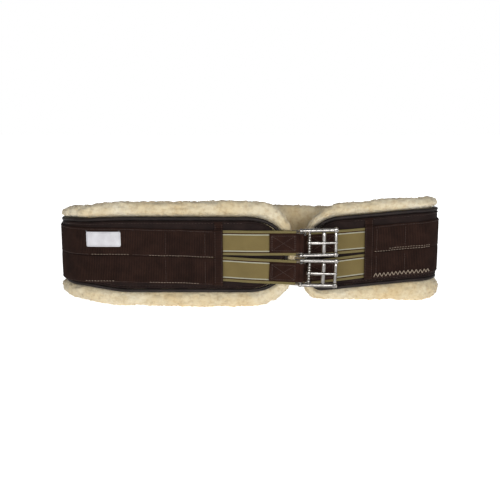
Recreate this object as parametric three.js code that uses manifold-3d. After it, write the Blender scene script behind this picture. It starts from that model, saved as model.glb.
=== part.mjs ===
// Saddle girth: a fleece-lined padded band with elastic straps and roller buckles at both ends,
// stored as a closed oval loop that stands on its long lower edge.
// Millimetres, +Z up, +X along the loop towards its tighter right-hand bend; -Y is the side that
// shows both ends. The origin is the middle of the bounding box's underside.
// The band is swept along one plan path: s runs along its outer face from the tip of the left end,
// t is how far a point stands proud of that face, and heights are true heights above the floor.

import * as THREE from "three";
import { mergeVertices } from "three/addons/utils/BufferGeometryUtils.js";
import Module from "manifold-3d";

const wasm = await Module();
wasm.setup();

// ---------------------------------------------------------------- driving dimensions
const X_SHIFT = -2.953; // puts the middle of the box on the origin
const Y_SHIFT = -5.967;

const Y_LEFT = -46; // outer face of the left end, in front
const Y_RIGHT = -10; // outer face of the right end, which lies deeper
const R_LEFT = 55; // outer radius of the two bends
const R_RIGHT = 37;
const X_LEFT = -201; // where each bend starts
const X_RIGHT = 225.5;
const X_TIP_L = 51; // tips of the padded panel
const X_TIP_R = 77.7;
const TIP_OUT_L = 11; // the fleece stands this far past each tip
const TIP_OUT_R = 9.5;
// Length over which each tip is rounded, [upper corner, lower corner]. The right end droops, so
// its lower corner is the fuller one.
const NOSE_PANEL = { left: [57, 57], right: [46, 24] };
const NOSE_FLEECE = { left: [60, 60], right: [74, 30] };

const PANEL_T = 8; // padded cover, from its face inwards
const FLEECE_BACK = 24; // wool surface, from the same face
const FLEECE_LIP = 2;
const BINDING_R = 2.4; // edge binding
const FIT = 0.3; // gap between touching pieces

const WEB_T = 1.8;
const WEB_W = 36.6; // one of the two webbing bands
const LIFT_L = 2.1; // the bands rise over the elastics near each pocket mouth
const MOUTH_L = -34.6; // pocket mouths
const MOUTH_R = 156.5;
const HEM = 11.4; // width of the folded hem over each mouth

const ELASTIC_W = 33;
const ELASTIC_T = 1.8;
const CHAPE_W = 25;
const CHAPE_T = 1.5;
const CHAPE_LEN = 41.7; // from its cut end to the heel bar
const HIDDEN_L = 36; // spare elastic inside each pocket
const HIDDEN_R = 30;
const HEEL_L = 102.6; // pocket mouth to heel bar
const HEEL_R = 80.5;
const STRAP_OUT = 4.2; // heel bar's middle, from the band's face
const LEAN_L = 8; // degrees that each pair of buckles hangs inwards
const LEAN_R = 38;

const ROD_R = 2.6; // buckle: side rods
const HEEL_ROD_R = 2.2;
const ROD_Z = 16.4; // middle of each side rod
const PIN_A = 11; // distances from the heel bar
const ROLLER_A = 30.4;
const END_A = 46.6;

const COLOURS = {
  web: [0x30201a, 0.8, 0],
  panel: [0x251c1a, 0.7, 0],
  binding: [0x27201f, 0.5, 0],
  fleece: [0xe3d5b4, 1.0, 0],
  elastic: [0x74673f, 0.75, 0],
  chape: [0x33211c, 0.8, 0],
  steel: [0xb8b4ae, 0.22, 1],
  label: [0xe8e6ea, 0.5, 0],
};

// ---------------------------------------------------------------- the plan path
const D = Math.PI / 180;
const Y_BACK = Y_LEFT + 2 * R_LEFT;
const CY_LEFT = Y_LEFT + R_LEFT;
const CY_RIGHT = Y_RIGHT + R_RIGHT;
const S1 = X_TIP_L - X_LEFT;
const S2 = S1 + Math.PI * R_LEFT;
const S3 = S2 + (X_RIGHT - X_LEFT);
const S4 = S3 + Math.PI * R_RIGHT;
const S_END = S4 + (X_RIGHT - X_TIP_R);

function path(s) {
  if (s <= S1) return [X_TIP_L - s, Y_LEFT, 0, -1];
  if (s <= S2) {
    const a = (s - S1) / R_LEFT;
    const [nx, ny] = [-Math.sin(a), -Math.cos(a)];
    return [X_LEFT + R_LEFT * nx, CY_LEFT + R_LEFT * ny, nx, ny];
  }
  if (s <= S3) return [X_LEFT + (s - S2), Y_BACK, 0, 1];
  if (s <= S4) {
    const a = (s - S3) / R_RIGHT;
    const [nx, ny] = [Math.sin(a), Math.cos(a)];
    return [X_RIGHT + R_RIGHT * nx, CY_RIGHT + R_RIGHT * ny, nx, ny];
  }
  return [X_RIGHT - (s - S4), Y_RIGHT, 0, -1];
}
const smooth = (a, b, x) => {
  const u = Math.min(1, Math.max(0, (x - a) / (b - a)));
  return u * u * (3 - 2 * u);
};
const at = (s, z, t) => {
  const [x, y, nx, ny] = path(s);
  return [x + nx * t, y + ny * t, z];
};
// Heights along the band: [s, top, bottom], joined smoothly.
const PANEL_HEIGHTS = [
  [0, 122.7, 21.5],
  [210, 122.9, 21.8],
  [280, 121, 30.5],
  [335, 117.5, 33],
  [400, 114, 30.5],
  [786, 114, 30.5],
  [936, 129.5, 29.5],
  [S4, 128.5, 28.5],
  [S_END, 114.9, 13.4],
];
const FLEECE_HEIGHTS = [
  [-TIP_OUT_L, 143, 0],
  [220, 143, 0],
  [285, 136, 10],
  [340, 129.5, 16],
  [400, 127.5, 9],
  [470, 127.5, 0],
  [600, 127.5, 0],
  [655, 127.5, 12],
  [756, 127.5, 12],
  [866, 137, 0],
  [936, 145, 0],
  [996, 143, 0],
  [1061, 138.5, 0],
  [S_END + TIP_OUT_R, 134, 0],
];
const SPLIT_HEIGHTS = [
  [0, 68.6, 0],
  [95, 69, 0],
  [150, 70.4, 0],
  [225, 72, 0],
  [330, 72.3, 0],
  [786, 72.2, 0],
  [936, 76.4, 0],
  [S4, 75, 0],
  [S_END, 62, 0],
];
function heights(table, s) {
  if (s <= table[0][0]) return table[0].slice(1);
  for (let i = 0; i + 1 < table.length; i++) {
    const [a, b] = [table[i], table[i + 1]];
    if (s <= b[0]) {
      const straight = a[0] >= S4 - 1 && table !== FLEECE_HEIGHTS;
      const u = straight ? (s - a[0]) / (b[0] - a[0]) : smooth(a[0], b[0], s);
      return [1, 2].map((j) => a[j] + (b[j] - a[j]) * u);
    }
  }
  return table[table.length - 1].slice(1);
}
const nose = (d, length, power = 2.4) =>
  d >= length
    ? 1
    : Math.pow(1 - Math.pow((length - Math.max(d, 0)) / length, power), 1 / power);
const tipDistance = (s) => Math.min(s, S_END - s);
function edges(table, s, d, lengths, inset = 0, shorter = 0) {
  const [top, bottom] = heights(table, s);
  const mid = heights(SPLIT_HEIGHTS, s)[0] + 1.5;
  const [up, down] = lengths[s < S_END / 2 ? "left" : "right"].map((l) => nose(d, l - shorter));
  const [a, b] = [mid + (top - mid) * up, mid + (bottom - mid) * down];
  const cut = Math.min(inset, (a - b) / 2 - 0.4);
  return [a - cut, b + cut];
}
const panelEdges = (s, inset = 0, d = tipDistance(s)) =>
  edges(PANEL_HEIGHTS, s, d, NOSE_PANEL, inset);
const fleeceEdges = (s, inset = 0) =>
  edges(
    FLEECE_HEIGHTS,
    s,
    s < S_END / 2 ? s + TIP_OUT_L : S_END + TIP_OUT_R - s,
    NOSE_FLEECE,
    inset,
  );

// ---------------------------------------------------------------- solids
function geometry(positions, index) {
  const g = new THREE.BufferGeometry();
  g.setAttribute("position", new THREE.Float32BufferAttribute(positions, 3));
  g.setIndex(index);
  return g;
}
function signedVolume(g) {
  const p = g.getAttribute("position");
  const ix = g.index.array;
  const [a, b, c] = [0, 1, 2].map(() => new THREE.Vector3());
  let v = 0;
  for (let i = 0; i < ix.length; i += 3) {
    a.fromBufferAttribute(p, ix[i]);
    b.fromBufferAttribute(p, ix[i + 1]);
    c.fromBufferAttribute(p, ix[i + 2]);
    v += a.dot(b.cross(c)) / 6;
  }
  return v;
}
function outward(g) {
  if (signedVolume(g) < 0) {
    const ix = g.index.array;
    for (let i = 0; i < ix.length; i += 3) [ix[i + 1], ix[i + 2]] = [ix[i + 2], ix[i + 1]];
  }
  return g;
}
// A closed body through rings of equal point count; a closed loop of rings has no end caps.
function loft(rings, closed = false) {
  const n = rings[0].length;
  const positions = rings.flat(2);
  const index = [];
  const last = closed ? rings.length : rings.length - 1;
  for (let k = 0; k < last; k++)
    for (let i = 0; i < n; i++) {
      const [p, q] = [k * n, ((k + 1) % rings.length) * n];
      const j = (i + 1) % n;
      index.push(p + i, q + i, p + j, p + j, q + i, q + j);
    }
  if (!closed)
    for (const [k, flip] of [
      [0, false],
      [rings.length - 1, true],
    ]) {
      const centre = [0, 1, 2].map((j) => rings[k].reduce((m, p) => m + p[j], 0) / n);
      const mid = positions.length / 3;
      positions.push(...centre);
      for (let i = 0; i < n; i++) {
        const [a, b] = [k * n + i, k * n + ((i + 1) % n)];
        index.push(mid, flip ? b : a, flip ? a : b);
      }
    }
  return outward(geometry(positions, index));
}
function solid(g) {
  const bare = new THREE.BufferGeometry().setAttribute(
    "position",
    (g.index ? g.toNonIndexed() : g).getAttribute("position"),
  );
  const m = outward(mergeVertices(bare, 1e-4));
  return new wasm.Manifold(
    new wasm.Mesh({
      numProp: 3,
      vertProperties: new Float32Array(m.getAttribute("position").array),
      triVerts: new Uint32Array(m.index.array),
    }),
  );
}
function fromSolid(m) {
  const out = m.getMesh();
  return geometry(Array.from(out.vertProperties), Array.from(out.triVerts));
}
const join = (...gs) => fromSolid(gs.map(solid).reduce((a, b) => a.add(b)));
const cut = (g, ...tools) =>
  fromSolid(tools.map(solid).reduce((a, b) => a.subtract(b), solid(g)));

const rodZ = (r, z0, z1, x, sides = 10) =>
  new THREE.CylinderGeometry(r, r, z1 - z0, sides)
    .rotateX(Math.PI / 2)
    .translate(x, 0, (z0 + z1) / 2);
const rodX = (r, x0, x1, z, sides = 10) =>
  new THREE.CylinderGeometry(r, r, x1 - x0, sides)
    .rotateZ(Math.PI / 2)
    .translate((x0 + x1) / 2, 0, z);
// A body turned about a line along Z: profile of [radius, z].
const turnedZ = (profile, x, sides = 10) =>
  outward(
    mergeVertices(
      new THREE.BufferGeometry().setAttribute(
        "position",
        new THREE.LatheGeometry(
          profile.map(([r, z]) => new THREE.Vector2(r, z)),
          sides,
        )
          .toNonIndexed()
          .getAttribute("position"),
      ),
      1e-4,
    )
      .rotateX(Math.PI / 2)
      .translate(x, 0, 0),
  );

// ---------------------------------------------------------------- the band
const root = new THREE.Group();
function mesh(parent, name, g, kind) {
  const [color, roughness, metalness] = COLOURS[kind];
  const m = new THREE.Mesh(
    g,
    new THREE.MeshStandardMaterial({ color, roughness, metalness }),
  );
  m.name = name;
  parent.add(m);
}

// Where the sweep puts its rings: close in the bends and at the tips, far apart between.
function stations(a, b, extra = []) {
  const all = new Set([a, b]);
  const put = (s) => s > a + 1.2 && s < b - 1.2 && all.add(s);
  extra.forEach(put);
  for (let i = 0; i <= 10; i++) put(S1 + (i / 10) * (S2 - S1));
  for (let i = 0; i <= 9; i++) put(S3 + (i / 9) * (S4 - S3));
  for (const s of [95, 120, 150, 188, 225, 470, 520, 600, 628, 655, 706, 756, 794, 822, 996, 1031]) put(s);
  return [...all].sort((p, q) => p - q);
}
const NEAR = [1.2, 3.5, 7.5, 13, 20, 29, 41, 57];
const bothTips = (list) => list.concat(list.map((d) => S_END - d));

const fleeceRing = (s) => {
  const d = s < S_END / 2 ? s + TIP_OUT_L : S_END + TIP_OUT_R - s;
  const k = nose(d, 12, 2.2);
  const mid = 12.5;
  const outline = [
    [5.5, FLEECE_LIP],
    [1.4, FLEECE_LIP + 3.2],
    [0, 9.5],
    [0, 14.5],
    [1.6, 18.5],
    [6, 22],
    [13, FLEECE_BACK],
  ].map(([inset, t]) => [inset, -(mid + (t - mid) * k)]);
  const top = outline.map(([i, t]) => at(s, fleeceEdges(s, i)[0], t));
  const bottom = outline.map(([i, t]) => at(s, fleeceEdges(s, i)[1], t)).reverse();
  return top.concat(bottom);
};
const panelRing = (s) => {
  const w = 2 * BINDING_R + FIT;
  const outline = [
    [w + 1.6, 0],
    [w, -1.4],
    [w, -PANEL_T + 0.8],
    [w + 1, -PANEL_T],
  ];
  const inner = (i) => edges(PANEL_HEIGHTS, s, tipDistance(s) - w, NOSE_PANEL, i, w);
  return outline
    .map(([i, t]) => at(s, inner(i)[0], t))
    .concat(outline.map(([i, t]) => at(s, inner(i)[1], t)).reverse());
};
const cutterRing = (s) => {
  const [a, b] = panelEdges(s, 0, Math.max(tipDistance(s), 0.2));
  return [
    at(s, a + FIT, 6),
    at(s, a + FIT, -PANEL_T - FIT),
    at(s, b - FIT, -PANEL_T - FIT),
    at(s, b - FIT, 6),
  ];
};

const tipStations = [-TIP_OUT_L + 2.2, -6, -1, 5, 12, 21, 32, 46];
const tipStationsR = tipStations.map((d) => S_END - d + (d < 0 ? TIP_OUT_R - TIP_OUT_L : 0));
const fleece = loft(
  stations(-TIP_OUT_L + 0.6, S_END + TIP_OUT_R - 0.6, tipStations.concat(tipStationsR)).map(
    fleeceRing,
  ),
);
const cutter = loft(
  [-FIT, 0.3, ...stations(1.2, S_END - 1.2, bothTips(NEAR)), S_END - 0.3, S_END + FIT].map(
    cutterRing,
  ),
);
mesh(root, "fleece", cut(fleece, cutter), "fleece");
const P0 = 2 * BINDING_R + FIT + 0.5;
mesh(root, "padded_panel", loft(stations(P0, S_END - P0, bothTips([6.6, ...NEAR.slice(2).map((d) => d + 2)])).map(panelRing)), "panel");

// The binding runs once round the panel's outline, just inside it.
const outlinePoint = (s, top) => {
  const [a, b] = panelEdges(s);
  return new THREE.Vector3(...at(s, top ? a : b, -BINDING_R - 0.5));
};
const topRun = stations(0.25, S_END - 0.25, bothTips(NEAR));
const outlineS = topRun.map((s) => [s, true]).concat([...topRun].reverse().map((s) => [s, false]));
const outlinePts = outlineS.map(([s, top]) => outlinePoint(s, top));
mesh(
  root,
  "edge_binding",
  loft(
    outlinePts.map((p, k) => {
      const n = outlinePts.length;
      const along = outlinePts[(k + 1) % n].clone().sub(outlinePts[(k + n - 1) % n]).normalize();
      const [, , nx, ny] = path(outlineS[k][0]);
      const out = new THREE.Vector3(nx, ny, 0);
      const inward = along.clone().cross(out).normalize();
      if (inward.dot(new THREE.Vector3(0, 0, outlineS[k][1] ? -1 : 1)) < 0) inward.negate();
      const c = p.clone().addScaledVector(inward, BINDING_R);
      return [...Array(8).keys()].map((i) => {
        const a = (i / 8) * 2 * Math.PI;
        return c
          .clone()
          .addScaledVector(out, BINDING_R * Math.cos(a))
          .addScaledVector(along.clone().cross(out).normalize(), BINDING_R * Math.sin(a))
          .toArray();
      });
    }),
    true,
  ),
  "binding",
);

const MOUTH_SL = X_TIP_L - MOUTH_L;
const MOUTH_SR = S4 + (X_RIGHT - MOUTH_R);
const lift = (s) =>
  LIFT_L *
  Math.max(
    1 - smooth(MOUTH_SL + HIDDEN_L + 3, MOUTH_SL + HIDDEN_L + 15, s),
    smooth(MOUTH_SR - HIDDEN_R - 15, MOUTH_SR - HIDDEN_R - 3, s),
  );
const liftStations = [3, 7, 11, 15].flatMap((d) => [
  MOUTH_SL + HIDDEN_L + d,
  MOUTH_SR - HIDDEN_R - d,
]);
const strip = (v0, v1, t0, t1) => (s) => {
  const z = heights(SPLIT_HEIGHTS, s)[0];
  const u = lift(s);
  return [
    [v1, t0],
    [v1, t1],
    [v0, t1],
    [v0, t0],
  ].map(([v, t]) => at(s, z + v, t + u));
};
const webStations = stations(MOUTH_SL + 0.8, MOUTH_SR - 0.8, liftStations);
const half = FIT / 2;
mesh(root, "webbing_upper", loft(webStations.map(strip(half, half + WEB_W, FIT, FIT + WEB_T))), "web");
mesh(root, "webbing_lower", loft(webStations.map(strip(-half - WEB_W, -half, FIT, FIT + WEB_T))), "web");
const HEM_T0 = 2 * FIT + WEB_T;
for (const [name, a, b] of [
  ["pocket_hem_left", MOUTH_SL, MOUTH_SL + HEM],
  ["pocket_hem_right", MOUTH_SR - HEM, MOUTH_SR],
])
  mesh(root, name, loft([a, b].map(strip(-38.2, 47, HEM_T0, HEM_T0 + 1.5))), "web");
mesh(
  root,
  "label",
  loft([219.5, 236, S1, S1 + 6, S1 + 12].map(strip(11.8, 31.6, HEM_T0, HEM_T0 + 0.6))),
  "label",
);

// ---------------------------------------------------------------- one strap with its buckle
// Local frame: +X along the strap from the pocket mouth, -Y away from the band, Z across.
const strapOut = (x) => {
  const low = FIT + ELASTIC_T / 2;
  return -(low + (STRAP_OUT - low) * smooth(0, 42, x));
};
function elastic(hidden, heel) {
  const xs = [-hidden, 0, 8, 15, 21, 27, 34, 42, heel - 6.5];
  return loft(
    xs.map((x) => {
      const y = strapOut(x);
      const [h, w] = [ELASTIC_T / 2, ELASTIC_W / 2];
      return [
        [x, y - h, -w],
        [x, y - h, w],
        [x, y + h, w],
        [x, y + h, -w],
      ];
    }),
  );
}
function chape(heel) {
  const gap = ELASTIC_T / 2 + FIT;
  const outer = [HEEL_ROD_R + FIT + CHAPE_T, gap + CHAPE_T];
  const inner = [HEEL_ROD_R + FIT, gap];
  const arc = ([r, y]) => {
    const a0 = Math.PI - Math.asin(y / r);
    return [...Array(11).keys()].map((i) => {
      const a = -a0 + (2 * a0 * i) / 10;
      return [heel + r * Math.cos(a), -STRAP_OUT + r * Math.sin(a)];
    });
  };
  const x0 = heel - CHAPE_LEN;
  const outline = [
    [x0, -STRAP_OUT - outer[1]],
    ...arc(outer),
    [x0, -STRAP_OUT + outer[1]],
    [x0, -STRAP_OUT + inner[1]],
    ...arc(inner).reverse(),
    [x0, -STRAP_OUT - inner[1]],
  ];
  const shape = new THREE.Shape(outline.map(([x, y]) => new THREE.Vector2(x, y)));
  return new THREE.ExtrudeGeometry(shape, { depth: CHAPE_W, bevelEnabled: false }).translate(
    0,
    0,
    -CHAPE_W / 2,
  );
}
function frameGeometry() {
  const pieces = [
    rodZ(HEEL_ROD_R, -ROD_Z, ROD_Z, 0),
    rodZ(1.5, -ROD_Z, ROD_Z, ROLLER_A, 8),
  ];
  for (const side of [-1, 1]) {
    const z = side * ROD_Z;
    pieces.push(rodX(ROD_R, 0, END_A - 0.8, z));
    pieces.push(new THREE.SphereGeometry(ROD_R + 0.15, 10, 6).translate(0, 0, z));
    pieces.push(rodZ(3.4, z - 2.55, z + 2.55, END_A, 12));
  }
  return cut(join(...pieces), rodZ(1.9, -25, 25, END_A));
}
const mirrored = (list) => list.concat([...list].reverse().map(([r, z]) => [r, -z]));
const endBar = () =>
  turnedZ(mirrored([[0, 19.75], [1.6, 19.65], [2.35, 19.35], [2.35, 19.1], [1.55, 19.05], [1.55, 13.5], [2.15, 13.4]]), END_A);
function tonguePin() {
  const beads = [[0, 13.4], [1.5, 13.35]];
  for (const z of [11.1, 7.4, 3.7])
    beads.push([1.4, z + 1.7], [2.15, z + 0.6], [2.15, z - 0.6]);
  beads.push([1.4, 2.2]);
  return turnedZ(mirrored(beads), PIN_A, 8);
}
const roller = () =>
  turnedZ([[1.9, -13.3], [2.45, -13.3], [2.8, -12.7], [2.8, 12.7], [2.45, 13.3], [1.9, 13.3], [1.9, -13.3]], ROLLER_A, 12);
function tongue() {
  // Forged bar that bends up over the roller and comes down on the end bar.
  const line = [
    [PIN_A + 1.5, -2.2, 1.7, 1.25],
    [PIN_A + 6, -3.6, 2.0, 1.25],
    [PIN_A + 12, -4.35, 1.9, 1.2],
    [ROLLER_A, -4.5, 1.6, 1.2],
    [ROLLER_A + 9, -4.2, 1.5, 1.15],
    [END_A + 1.2, -3.75, 1.35, 1.1],
  ];
  const shaft = loft(
    line.map(([x, y, w, h]) =>
      [...Array(8).keys()].map((i) => {
        const a = ((i + 0.5) / 8) * 2 * Math.PI;
        return [x, y + h * 1.05 * Math.sin(a), w * 1.05 * Math.cos(a)];
      }),
    ),
  );
  return cut(join(rodZ(3.5, -1.8, 1.8, PIN_A, 12), shaft), rodZ(1.8, -4, 4, PIN_A));
}

function strap(name, origin, turn, heel, hidden, lean) {
  const band = new THREE.Group();
  band.position.set(...origin);
  band.rotation.y = turn;
  root.add(band);
  mesh(band, `elastic_${name}`, elastic(hidden, heel), "elastic");
  mesh(band, `chape_${name}`, chape(heel), "chape");
  const buckle = new THREE.Group();
  buckle.position.set(heel, -STRAP_OUT, 0);
  buckle.rotation.z = lean * D;
  band.add(buckle);
  mesh(buckle, `buckle_frame_${name}`, frameGeometry(), "steel");
  mesh(buckle, `end_bar_${name}`, endBar(), "steel");
  mesh(buckle, `tongue_pin_${name}`, tonguePin(), "steel");
  mesh(buckle, `roller_${name}`, roller(), "steel");
  mesh(buckle, `tongue_${name}`, tongue(), "steel");
}
strap("left_upper", [MOUTH_L, Y_LEFT, 88.9], 0 * D, HEEL_L, HIDDEN_L, LEAN_L);
strap("left_lower", [MOUTH_L, Y_LEFT, 53.9], 2.6 * D, HEEL_L, HIDDEN_L, LEAN_L);
strap("right_upper", [MOUTH_R, Y_RIGHT, 86.9], Math.PI - 4 * D, HEEL_R, HIDDEN_R, LEAN_R);
strap("right_lower", [MOUTH_R, Y_RIGHT, 50.9], Math.PI - 6.4 * D, HEEL_R, HIDDEN_R, LEAN_R);

root.position.set(X_SHIFT, Y_SHIFT, 0);

export default root;
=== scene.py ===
# Saddle girth, folded into a standing loop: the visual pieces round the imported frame.
# Lengths are worked out in millimetres, in the same way as the CAD, and turned into metres.
import math
import random
import bpy
import numpy as np
from mathutils import Matrix, Vector


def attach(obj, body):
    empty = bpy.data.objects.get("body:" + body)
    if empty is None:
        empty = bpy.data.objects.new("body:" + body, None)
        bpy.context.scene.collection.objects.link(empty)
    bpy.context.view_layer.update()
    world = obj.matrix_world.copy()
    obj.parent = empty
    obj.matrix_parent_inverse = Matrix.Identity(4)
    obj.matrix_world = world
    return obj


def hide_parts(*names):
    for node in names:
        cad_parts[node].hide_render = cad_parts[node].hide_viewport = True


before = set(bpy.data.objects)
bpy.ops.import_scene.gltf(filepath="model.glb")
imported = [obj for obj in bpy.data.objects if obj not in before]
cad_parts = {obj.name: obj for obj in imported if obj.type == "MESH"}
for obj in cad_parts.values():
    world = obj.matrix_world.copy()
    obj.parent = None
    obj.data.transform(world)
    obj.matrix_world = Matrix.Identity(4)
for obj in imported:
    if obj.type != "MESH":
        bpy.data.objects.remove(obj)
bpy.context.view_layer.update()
rng = np.random.default_rng(7)
random.seed(7)

# ---------------------------------------------------------------- the CAD's dimensions
SHIFT = np.array([-2.953, -5.967, 0.0])
Y_LEFT, Y_RIGHT, R_LEFT, R_RIGHT = -46.0, -10.0, 55.0, 37.0
X_LEFT, X_RIGHT, X_TIP_L, X_TIP_R = -201.0, 225.5, 51.0, 77.7
TIP_OUT_L, TIP_OUT_R = 11.0, 9.5
NOSE_PANEL, NOSE_FLEECE = ((57.0, 57.0), (46.0, 24.0)), ((60.0, 60.0), (74.0, 30.0))
Y_BACK = Y_LEFT + 2 * R_LEFT
S1 = X_TIP_L - X_LEFT
S2 = S1 + math.pi * R_LEFT
S3 = S2 + (X_RIGHT - X_LEFT)
S4 = S3 + math.pi * R_RIGHT
S_END = S4 + (X_RIGHT - X_TIP_R)
MOUTH_L, MOUTH_R, HEM = -34.6, 156.5, 11.4
MOUTH_SL = X_TIP_L - MOUTH_L
MOUTH_SR = S4 + (X_RIGHT - MOUTH_R)
HIDDEN_L, HIDDEN_R = 36.0, 30.0
HEEL_L, HEEL_R, STRAP_OUT = 102.6, 80.5, 4.2
WEB_W, WEB_T, FIT = 36.6, 1.8, 0.3
ELASTIC_W, ELASTIC_T, CHAPE_W, CHAPE_T, CHAPE_LEN = 33.0, 1.8, 25.0, 1.5, 41.7
ROD_R, HEEL_ROD_R, ROD_Z, PIN_A, ROLLER_A, END_A = 2.6, 2.2, 16.4, 11.0, 30.4, 46.6

PANEL_H = [(0, 122.7, 21.5), (210, 122.9, 21.8), (280, 121, 30.5), (335, 117.5, 33), (400, 114, 30.5),
           (786, 114, 30.5), (936, 129.5, 29.5), (S4, 128.5, 28.5), (S_END, 114.9, 13.4)]
FLEECE_H = [(-TIP_OUT_L, 143, 0), (220, 143, 0), (285, 136, 10), (340, 129.5, 16), (400, 127.5, 9),
            (470, 127.5, 0), (600, 127.5, 0), (655, 127.5, 12), (756, 127.5, 12), (866, 137, 0),
            (936, 145, 0), (996, 143, 0), (1061, 138.5, 0), (S_END + TIP_OUT_R, 134, 0)]
SPLIT_H = [(0, 68.6, 0), (95, 69, 0), (150, 70.4, 0), (225, 72, 0), (330, 72.3, 0), (786, 72.2, 0), (936, 76.4, 0),
           (S4, 75, 0), (S_END, 62, 0)]


def path(s):
    """(x, y, nx, ny) arrays for arclengths s."""
    s = np.asarray(s, float)
    a1 = np.clip((s - S1) / R_LEFT, 0, math.pi)
    a2 = np.clip((s - S3) / R_RIGHT, 0, math.pi)
    x = np.where(s <= S1, X_TIP_L - s, np.where(s <= S2, X_LEFT - R_LEFT * np.sin(a1), np.where(
        s <= S3, X_LEFT + s - S2, np.where(s <= S4, X_RIGHT + R_RIGHT * np.sin(a2), X_RIGHT - (s - S4)))))
    y = np.where(s <= S1, Y_LEFT, np.where(s <= S2, Y_LEFT + R_LEFT - R_LEFT * np.cos(a1), np.where(
        s <= S3, Y_BACK, np.where(s <= S4, Y_RIGHT + R_RIGHT + R_RIGHT * np.cos(a2), Y_RIGHT))))
    nx = np.where((s > S1) & (s <= S2), -np.sin(a1), np.where((s > S3) & (s <= S4), np.sin(a2), 0))
    ny = np.where(s <= S1, -1, np.where(s <= S2, -np.cos(a1), np.where(s <= S3, 1, np.where(s <= S4, np.cos(a2), -1))))
    return x, y, nx, ny


def at(s, z, t):
    x, y, nx, ny = path(s)
    return np.stack([x + nx * t, y + ny * t, z + 0 * x], -1) + SHIFT


def smooth(a, b, x):
    u = np.clip((np.asarray(x, float) - a) / (b - a), 0, 1)
    return u * u * (3 - 2 * u)


def heights(table, s, col=1):
    s = np.asarray(s, float)
    out = np.full(s.shape, float(table[0][col]))
    for a, b in zip(table, table[1:]):
        straight = a[0] >= S4 - 1 and table is not FLEECE_H
        u = np.clip((s - a[0]) / (b[0] - a[0]), 0, 1) if straight else smooth(a[0], b[0], s)
        out = np.where(s > a[0], a[col] + (b[col] - a[col]) * u, out)
    return out


def nose(d, length, power=2.4):
    u = np.clip((length - np.maximum(d, 0)) / length, 0, 1)
    return (1 - u ** power) ** (1 / power)


def split(s):
    return heights(SPLIT_H, s)


def edges(table, s, d, lengths, shorter=0.0):
    """lengths: ((upper, lower) at the left end, (upper, lower) at the right end)."""
    mid = split(s) + 1.5
    left = s < S_END / 2
    up, down = (np.where(left, nose(d, lengths[0][i] - shorter), nose(d, lengths[1][i] - shorter)) for i in (0, 1))
    return mid + (heights(table, s, 1) - mid) * up, mid + (heights(table, s, 2) - mid) * down


def panel_edges(s):
    return edges(PANEL_H, s, np.minimum(s, S_END - s), NOSE_PANEL)


def fleece_edges(s):
    return edges(FLEECE_H, s, np.where(s < S_END / 2, s + TIP_OUT_L, S_END + TIP_OUT_R - s), NOSE_FLEECE)


def lift(s):
    return 2.1 * np.maximum(1 - smooth(MOUTH_SL + HIDDEN_L + 3, MOUTH_SL + HIDDEN_L + 15, s),
                            smooth(MOUTH_SR - HIDDEN_R - 15, MOUTH_SR - HIDDEN_R - 3, s))


# ---------------------------------------------------------------- noise
TABLE = rng.random(4096)
PERM = rng.permutation(4096)


def lattice(i, j, k, salt=0):
    return PERM[(PERM[(PERM[(i + salt) & 4095] + j) & 4095] + k) & 4095]


def value_noise(p, size, salt=0):
    q = p / size
    f = np.floor(q).astype(int)
    u = q - f
    u = u * u * (3 - 2 * u)
    out = 0
    for i in (0, 1):
        for j in (0, 1):
            for k in (0, 1):
                w = (u[..., 0] if i else 1 - u[..., 0]) * (u[..., 1] if j else 1 - u[..., 1]) * (u[..., 2] if k else 1 - u[..., 2])
                out = out + w * TABLE[lattice(f[..., 0] + i, f[..., 1] + j, f[..., 2] + k, salt)]
    return out * 2 - 1


def clumps(p, size, salt=0):
    """1 in the middle of a wool clump, falling to 0 between clumps."""
    q = p / size
    f = np.floor(q).astype(int)
    best = np.full(q.shape[:-1], 9.0)
    for i in (-1, 0, 1):
        for j in (-1, 0, 1):
            for k in (-1, 0, 1):
                c = f + np.array([i, j, k])
                h = lattice(c[..., 0], c[..., 1], c[..., 2], salt)
                o = np.stack([TABLE[h], TABLE[(h + 911) & 4095], TABLE[(h + 2203) & 4095]], -1)
                best = np.minimum(best, ((c + o - q) ** 2).sum(-1))
    return np.clip(1 - best, 0, 1)


# ---------------------------------------------------------------- mesh helpers
def new_object(name, verts, faces, smooth_shade=True, sv=None):
    me = bpy.data.meshes.new(name)
    verts = np.asarray(verts, float) * 0.001
    faces = [tuple(f) for f in faces] if not isinstance(faces, np.ndarray) else faces.tolist()
    me.from_pydata(verts.tolist(), [], faces)
    if sv is not None:
        a = me.attributes.new("sv", "FLOAT_VECTOR", "POINT")
        sv = np.asarray(sv, float)
        full = np.zeros((len(verts), 3))
        full[:, :sv.shape[1]] = sv
        a.data.foreach_set("vector", full.astype(np.float32).ravel())
    me.validate()
    if smooth_shade:
        me.polygons.foreach_set("use_smooth", [True] * len(me.polygons))
    o = bpy.data.objects.new(name, me)
    bpy.context.scene.collection.objects.link(o)
    import bmesh
    bm = bmesh.new()
    bm.from_mesh(me)
    bmesh.ops.recalc_face_normals(bm, faces=bm.faces)
    bm.to_mesh(me)
    bm.free()
    return o


def grid_faces(rows, cols, wrap_cols=True, wrap_rows=False, base=0):
    r = np.arange(rows if wrap_rows else rows - 1)
    c = np.arange(cols if wrap_cols else cols - 1)
    R, C = np.meshgrid(r, c, indexing="ij")
    R2, C2 = (R + 1) % rows, (C + 1) % cols
    return (np.stack([R * cols + C, R2 * cols + C, R2 * cols + C2, R * cols + C2], -1).reshape(-1, 4) + base)


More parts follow.
